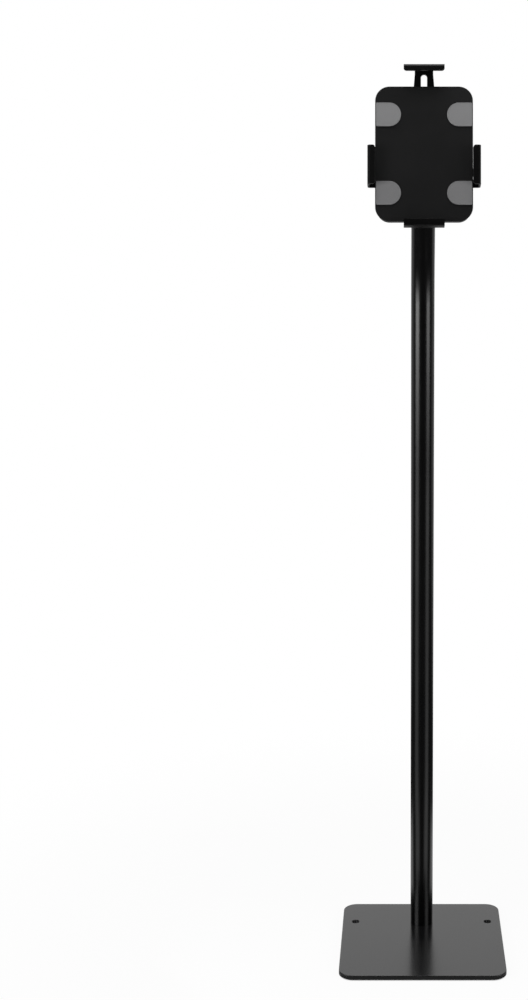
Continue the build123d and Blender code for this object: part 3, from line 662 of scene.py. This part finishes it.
def buildLiner(node, where, values):
    wall, tip, under, bend = where["wall"], where["tip"], plateSize["lipUnder"], values["bend"]
    start = tip + values["margin"]
    pitch = values["rib"] + values["gap"]
    bpy.ops.mesh.primitive_plane_add(size=1, location=(0, 0, 0))
    liner = startPiece(node + "_ribbed")
    width = where["high"] - where["low"]
    bpy.ops.transform.resize(value=(values["margin"], width, 1), center_override=(0, 0, 0))
    bpy.ops.transform.translate(value=(tip + values["margin"] / 2, where["low"] + width / 2, under))

    # Under the lip, round the bend and down the wall
    lipRibs = int((wall - bend - start) / pitch)
    steps = [(values["gap"], 0), (values["rib"], 0)] * lipRibs
    rest = wall - bend - start - lipRibs * pitch
    pushEdge(
        liner, lambda middle, way: abs(way.y) > facing and middle.x > start - 2 * near, steps + [(rest, 0)],
    )
    pickEdges(liner, lambda middle, way: abs(way.y) > facing and middle.x > wall - bend - near)
    bpy.ops.mesh.spin(
        steps=values["bendSteps"], angle=math.radians(-90),
        center=(wall - bend, 0, under - bend), axis=(0, 1, 0),
    )
    wallRibs = int((under - bend) / pitch)
    bpy.ops.mesh.select_all(action="DESELECT")
    steps = [(0, -values["gap"]), (0, -values["rib"])] * wallRibs
    rest = under - bend - wallRibs * pitch
    pushEdge(
        liner, lambda middle, way: abs(way.y) > facing and middle.x > wall - near, steps + [(0, -rest)],
    )
    pickCorners(liner, lambda spot: spot.x < tip + near)
    bpy.ops.mesh.bevel(offset=values["corner"], segments=values["cornerSteps"], affect="VERTICES")
    bpy.ops.object.mode_set(mode="OBJECT")
    skin = liner.modifiers.new("skin", "SOLIDIFY")
    skin.thickness, skin.offset = values["thickness"], -1
    bpy.ops.object.modifier_apply(modifier=skin.name)
    bpy.ops.object.mode_set(mode="EDIT")

    # The ribs, raised on the inside
    def isRib(middle, normal):
        if normal.z < -facing and abs(middle.z - under + values["thickness"]) < 2 * near:
            run, length = middle.x - start, lipRibs * pitch
        elif normal.x < -facing and abs(middle.x - wall + values["thickness"]) < 2 * near:
            run, length = under - bend - middle.z, wallRibs * pitch
        else:
            return False
        return 0 < run < length and run % pitch > values["gap"]

    pickFaces(liner, isRib)
    bpy.ops.mesh.inset(thickness=values["ribTaper"], depth=values["ribHeight"], use_individual=True)
    bpy.ops.object.mode_set(mode="OBJECT")
    edges = liner.modifiers.new("edges", "BEVEL")
    edges.width, edges.segments = values["edge"], values["edgeSteps"]
    edges.angle_limit = math.radians(values["edgeAngle"])
    bpy.ops.object.modifier_apply(modifier=edges.name)
    bpy.ops.object.mode_set(mode="EDIT")
    way, place = slideWays[where["way"]]
    finishPiece(liner, place, holderOut, way, "linerRubber", node.split("_")[0] + "_arm")
    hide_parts(node)


for linerNode, linerPlace in linerPlaces.items():
    buildLiner(linerNode, linerPlace, linerShape)
print("liners made")

# Chamfered bolt and lock nuts. Each stands on its seat and points up while it is made
hexShape = {
    "across": 0.013, "shoulder": 0.0061, "drop": 0.0008,
    "cutterSides": 72, "cutterRoom": 1.01, "spare": 0.001,  # the cutter shares no plane with the hexagon
}


def buildHex(name, height, values):
    # A hexagon with its upper corners turned off by a round cutter
    corner = values["across"] / 2 / math.cos(math.radians(30))
    reach = corner * values["cutterRoom"]
    shoulderHeight = height - values["drop"]
    bpy.ops.mesh.primitive_cylinder_add(
        vertices=values["cutterSides"], radius=reach, depth=shoulderHeight + values["spare"],
        location=(0, 0, (shoulderHeight - values["spare"]) / 2),
    )
    bpy.ops.object.transform_apply(location=True)
    cutter = startPiece("cutter")
    pickFaces(cutter, lambda middle, normal: normal.z > facing)
    ringIn(reach - values["shoulder"], values["drop"])
    bpy.ops.object.mode_set(mode="OBJECT")
    bpy.ops.object.select_all(action="DESELECT")
    tall = height + values["spare"]
    bpy.ops.mesh.primitive_cylinder_add(vertices=6, radius=corner, depth=tall, location=(0, 0, tall / 2))
    bpy.ops.object.transform_apply(location=True)
    piece = bpy.context.object
    common = piece.modifiers.new("corners", "BOOLEAN")
    common.operation, common.solver, common.object = "INTERSECT", "EXACT", cutter
    bpy.ops.object.modifier_apply(modifier=common.name)
    bpy.data.objects.remove(cutter)
    return startPiece(name)


nutShapes = {
    # proud: how far the bolt's end stands out of the collar
    "tilt_nut": {"height": 0.008, "hex": 0.0056, "proud": 0.001},
    "swivel_nut": {"height": 0.0065, "hex": 0.0044, "proud": 0.0008},
}
collarShape = {
    "radius": 0.0056, "round": 0.0006, "roundSteps": ((0.4, 0.75), (0.6, 0.25)),  # shares inwards and up
    "ringOuter": 0.0049, "ringDrop": 0.0002, "ringWall": 0.00005, "bore": 0.0041, "sink": 0.0016,
}


def buildNut(node, body, zWay, xWay, values):
    # The hexagon carries a round collar, which holds a nylon ring about the bore
    nut = buildHex(node + "_nyloc", values["hex"], hexShape)
    top = values["hex"]
    pickFaces(nut, lambda middle, normal: normal.z > facing and middle.z > top - near)
    ringIn(hexShape["shoulder"] - values["radius"])
    pushOut(z=values["height"] - values["proud"] - top - values["round"])
    for inwards, up in values["roundSteps"]:
        ringIn(values["round"] * inwards, values["round"] * up)
    ringIn(values["radius"] - values["round"] - values["ringOuter"])
    ringIn(values["ringWall"], -values["ringDrop"])
    ringIn(values["ringOuter"] - values["ringWall"] - values["bore"])
    pushOut(z=-values["sink"])
    seat = middleOf(node) - zWay * values["height"] / 2
    finishPiece(nut, seat, zWay, xWay, "zincSteel", body)
    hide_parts(node)

    # The nylon ring's face takes its own finish
    nut.data.materials.append(finishes["nylonSkin"])
    ringLow = values["height"] - values["proud"] - 3 * values["ringDrop"]
    inner, outer = values["bore"] - 2 * near, values["ringOuter"] - 4 * near
    for face in nut.data.polygons:
        spot = Vector(face.center) - seat
        rise = spot.dot(zWay)
        flat = abs(Vector(face.normal).dot(zWay)) > facing
        if flat and rise > ringLow and inner < (spot - zWay * rise).length < outer:
            face.material_index = 1


boltShape = {
    "head": 0.0053, "seatRim": 0.00026, "shank": 0.004, "sides": 48, "start": 0.001,
    "pitch": 0.00125, "turns": 6, "root": 0.87, "tip": 0.0005,
}


def buildBolt(node, body, zWay, xWay, values):
    # The head's seat is opened, and the shank, with its turned threads, is bridged to it
    head = buildHex(node + "_hex", values["head"], hexShape)
    pickFaces(head, lambda middle, normal: normal.z < -facing)
    ringIn(values["seatRim"])
    bpy.ops.mesh.delete(type="FACE")
    bpy.ops.object.mode_set(mode="OBJECT")
    bpy.ops.object.select_all(action="DESELECT")
    low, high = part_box(node)
    bpy.ops.mesh.primitive_cylinder_add(
        vertices=values["sides"], radius=values["shank"], depth=values["start"],
        location=(0, 0, -values["start"] / 2),
    )
    bpy.ops.object.transform_apply(location=True)
    shank = startPiece("shank")
    pickFaces(shank, lambda middle, normal: normal.z < -facing)
    threaded = values["pitch"] * values["turns"]
    plain = (high - low).x - values["head"] - values["start"] - threaded - values["tip"]
    pushOut(z=-plain)
    for turn in range(values["turns"]):
        pushOut(z=-values["pitch"] / 2)
        widen(values["root"])
        pushOut(z=-values["pitch"] / 2)
        widen(1 / values["root"])
    ringIn(values["tip"], values["tip"])
    pickFaces(shank, lambda middle, normal: normal.z > facing)
    bpy.ops.mesh.delete(type="FACE")
    bpy.ops.object.mode_set(mode="OBJECT")
    head.select_set(True)
    bpy.context.view_layer.objects.active = head
    bpy.ops.object.join()
    bolt = startPiece(node + "_hex")
    pickEdges(bolt, lambda middle, way: abs(middle.z) < near and abs(way.z) < 1 - facing, openOnly=True)
    bpy.ops.mesh.bridge_edge_loops()
    place = (low + high) / 2
    place.x = low.x + values["head"]
    finishPiece(bolt, place, zWay, xWay, "zincSteel", body)
    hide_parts(node)


buildNut("tilt_nut", "stand", holderAcross, holderUp, {**collarShape, **nutShapes["tilt_nut"]})
buildNut("swivel_nut", "tilt_head", -holderOut, holderUp, {**collarShape, **nutShapes["swivel_nut"]})
buildBolt("tilt_bolt", "stand", -holderAcross, holderUp, boltShape)
print("nuts and bolt made")

# The studio: pale floor, white surroundings, soft lamps. Each lamp: place, aim, size, power
lampValues = {
    "leftBox": ((-2.03, -1.39, 1.06), (0, 0.057, 1.06), (1.55, 0.88), 23.8),
    "rightBox": ((2.03, -1.39, 1.06), (0, 0.057, 1.06), (1.4, 0.88), 13.4),
    "leftLow": ((-2.03, -1.39, 0.435), (0, 0.057, 0.435), (1.55, 0.37), 1.85),
    "rightLow": ((2.03, -1.39, 0.435), (0, 0.057, 0.435), (1.4, 0.37), 1.3),
    "leftFoot": ((-0.33, -0.17, 0.33), (0, 0.057, 0.33), (0.25, 0.58), 0.27),
    "rightFoot": ((0.31, -0.2, 0.33), (0, 0.057, 0.33), (0.23, 0.58), 0.28),
    "topBox": ((0, -0.4, 3.2), (0, 0, 0.8), (1.6, 1.2), 24.0),
}


def buildLamps(lamps):
    for name, (place, aim, size, power) in lamps.items():
        data = bpy.data.lights.new(name, "AREA")
        data.shape = "RECTANGLE"
        data.size, data.size_y = size
        data.energy = power
        lamp = bpy.data.objects.new(name, data)
        bpy.context.scene.collection.objects.link(lamp)
        lamp.location = place
        lamp.rotation_euler = (Vector(aim) - Vector(place)).to_track_quat("-Z", "Y").to_euler()
        lamp.visible_camera = False


def mixShaders(tree, factor, first, second):
    node = addNode(tree, "ShaderNodeMixShader")
    for place, output in enumerate((factor, first, second)):
        tree.links.new(output, node.inputs[place])
    return node.outputs[0]


worldValues = {
    "fill": 0.32,
    "seen": 1.0,  # what the camera sees
    "frontGloss": 0.03, "backGloss": 1.0, "glossTurn": (0.35, 0.85),  # what gloss mirrors, front to back
}


def buildWorld(values):
    world = bpy.data.worlds.new("studio")
    bpy.context.scene.world = world
    world.use_nodes = True
    tree = world.node_tree
    tree.nodes.clear()
    ray = addNode(tree, "ShaderNodeLightPath").outputs
    around = addNode(tree, "ShaderNodeTexCoord").outputs["Generated"]
    mirror = remap(
        tree, axisOf(tree, around, "Y"), values["glossTurn"], values["frontGloss"], values["backGloss"], True,
    )
    shades = []
    for strength in (values["fill"], mirror, values["seen"]):
        shade = setInputs(addNode(tree, "ShaderNodeBackground"), Color=(1, 1, 1, 1))
        feed(tree, strength, shade.inputs["Strength"])
        shades.append(shade.outputs[0])
    fill, gloss, seen = shades
    shiny = mathNode(tree, "MAXIMUM", ray["Is Glossy Ray"], ray["Is Transmission Ray"])
    light = mixShaders(tree, ray["Is Camera Ray"], mixShaders(tree, shiny, fill, gloss), seen)
    tree.links.new(light, addNode(tree, "ShaderNodeOutputWorld").inputs[0])


floorValues = {
    "size": 60.0, "paper": (0.9, 0.9, 0.9, 1),
    "shade": 0.07, "shadeReach": (0.35, 1.1),  # how much of the paper the camera sees near the stand
    "baseCorner": 0.021, "cornerSoft": 0.004,
    "gloss": 0.06, "rearGloss": 0.45, "rearReach": (0.7, 1.3),  # what gloss mirrors, front and rear
    "pool": 0.95, "poolReach": (0.4, 0.6),
    "poolRise": (0.3, 0.62), "poolFall": (0.9, 1.0),  # sines of the turn away from the front
    "rimGloss": 0.24, "rimReach": (0.02, 0.034),  # beside the base
}


def buildFloor(values):
    bpy.ops.mesh.primitive_plane_add(size=values["size"])
    floor = bpy.context.object
    floor.name = "floor"
    material = bpy.data.materials.new("floorPaper")
    material.use_nodes = True
    tree = material.node_tree
    tree.nodes.clear()
    ray = addNode(tree, "ShaderNodeLightPath").outputs
    where = objectPlace(tree)
    reach = vectorNode(tree, "LENGTH", where)
    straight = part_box("base_plate")[1].x - values["baseCorner"]
    under = vectorNode(tree, "SUBTRACT", vectorNode(tree, "ABSOLUTE", where), (straight,) * 3)
    under = vectorNode(tree, "LENGTH", vectorNode(tree, "MAXIMUM", under, (0, 0, 0)))

    # The camera sees white away from the stand, and shaded paper near and under it, with its shadow
    share = remap(tree, reach, values["shadeReach"], values["shade"], 0.0, True)
    corner = (values["baseCorner"] - values["cornerSoft"], values["baseCorner"])
    share = mathNode(tree, "MAXIMUM", share, remap(tree, under, corner, 1.0, 0.0, True))
    paper = setInputs(addNode(tree, "ShaderNodeBsdfDiffuse"), Color=values["paper"]).outputs[0]
    white = setInputs(addNode(tree, "ShaderNodeEmission"), Strength=1.0).outputs[0]
    seen = mixShaders(tree, share, white, paper)

    # Gloss mirrors two pools of lamp light on the floor, to the left and right of the front
    spread = axisOf(tree, vectorNode(tree, "NORMALIZE", where), "X")
    sideways = mathNode(tree, "ABSOLUTE", spread)
    pool = mathNode(
        tree, "MULTIPLY",
        remap(tree, sideways, values["poolRise"], 0.0, values["pool"], True),
        remap(tree, sideways, values["poolFall"], 1.0, 0.0, True),
    )
    pool = mathNode(tree, "MULTIPLY", pool, remap(tree, reach, values["poolReach"], 1.0, 0.0, True))

    # Beside the base, where its edges are mirrored, the floor is evenly dim
    beside = [values["baseCorner"] + width for width in values["rimReach"]]
    pool = mathNode(tree, "MULTIPLY", pool, remap(tree, under, beside, 0.0, 1.0, True))
    rim = remap(tree, under, beside, values["rimGloss"], 0.0, True)

    # Behind the stand it grows brighter
    behind = axisOf(tree, where, "Y")
    rear = remap(tree, behind, values["rearReach"], values["gloss"], values["rearGloss"], True)
    brightest = mathNode(tree, "MAXIMUM", mathNode(tree, "MAXIMUM", pool, rim), rear)
    mirrored = addNode(tree, "ShaderNodeEmission")
    tree.links.new(brightest, mirrored.inputs["Strength"])
    light = mixShaders(tree, ray["Is Glossy Ray"], paper, mirrored.outputs[0])
    light = mixShaders(tree, ray["Is Camera Ray"], light, seen)
    tree.links.new(light, addNode(tree, "ShaderNodeOutputMaterial").inputs[0])
    floor.data.materials.append(material)


bpy.context.scene.view_settings.view_transform = "Standard"
buildWorld(worldValues)
bpy.ops.object.select_all(action="DESELECT")
buildFloor(floorValues)
buildLamps(lampValues)
print("studio built")
